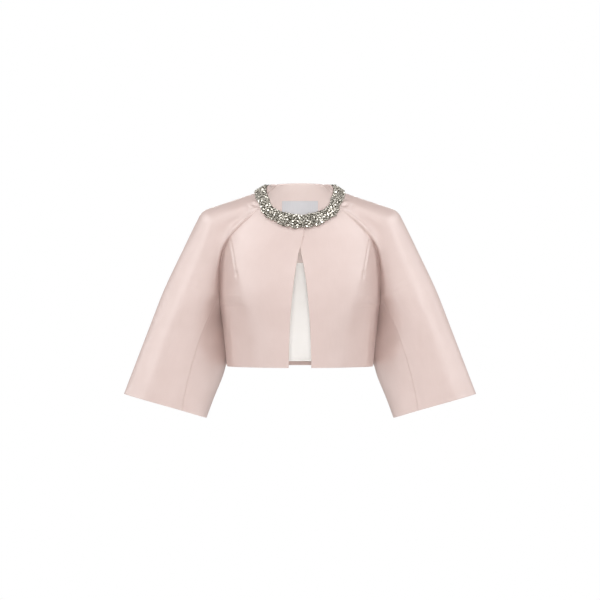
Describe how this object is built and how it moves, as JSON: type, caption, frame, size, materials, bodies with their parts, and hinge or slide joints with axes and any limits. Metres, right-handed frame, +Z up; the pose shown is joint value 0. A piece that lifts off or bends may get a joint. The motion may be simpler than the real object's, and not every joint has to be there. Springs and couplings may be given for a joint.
{
  "type": "cropped cape jacket",
  "caption": "Cropped satin jacket with raglan cape sleeves, an open front lapped at the neck, a jewelled neck band and a lined back, hollow and in its worn form.",
  "frame": {"origin": "on the shoulder line, midway between the shoulders and midway front to back of the neck, where a wearer holds the jacket up", "axes": "+X to the wearer's left, -Y out of the front, +Z up"},
  "size_m": [0.7422, 0.2294, 0.498],
  "materials": {
    "blush_satin": "heavy blush pink satin with a soft sheen",
    "blush_satin_facing": "the same satin, turned inside",
    "ivory_lining": "smooth ivory lining cloth",
    "grey_label": "blank woven satin label, pale grey",
    "crystal_band": "close-set clear and smoky crystals in dull silver settings"
  },
  "bodies": {
    "root": {"front_right": "blush_satin", "front_left": "blush_satin", "back": "blush_satin", "sleeve_top_right": "blush_satin", "sleeve_top_left": "blush_satin", "sleeve_under_right": "blush_satin", "sleeve_under_left": "blush_satin", "neck_band": "crystal_band", "back_neck_facing": "blush_satin_facing", "back_lining": "ivory_lining", "back_hem_facing": "blush_satin_facing", "label": "grey_label"}
  },
  "joints": []
}
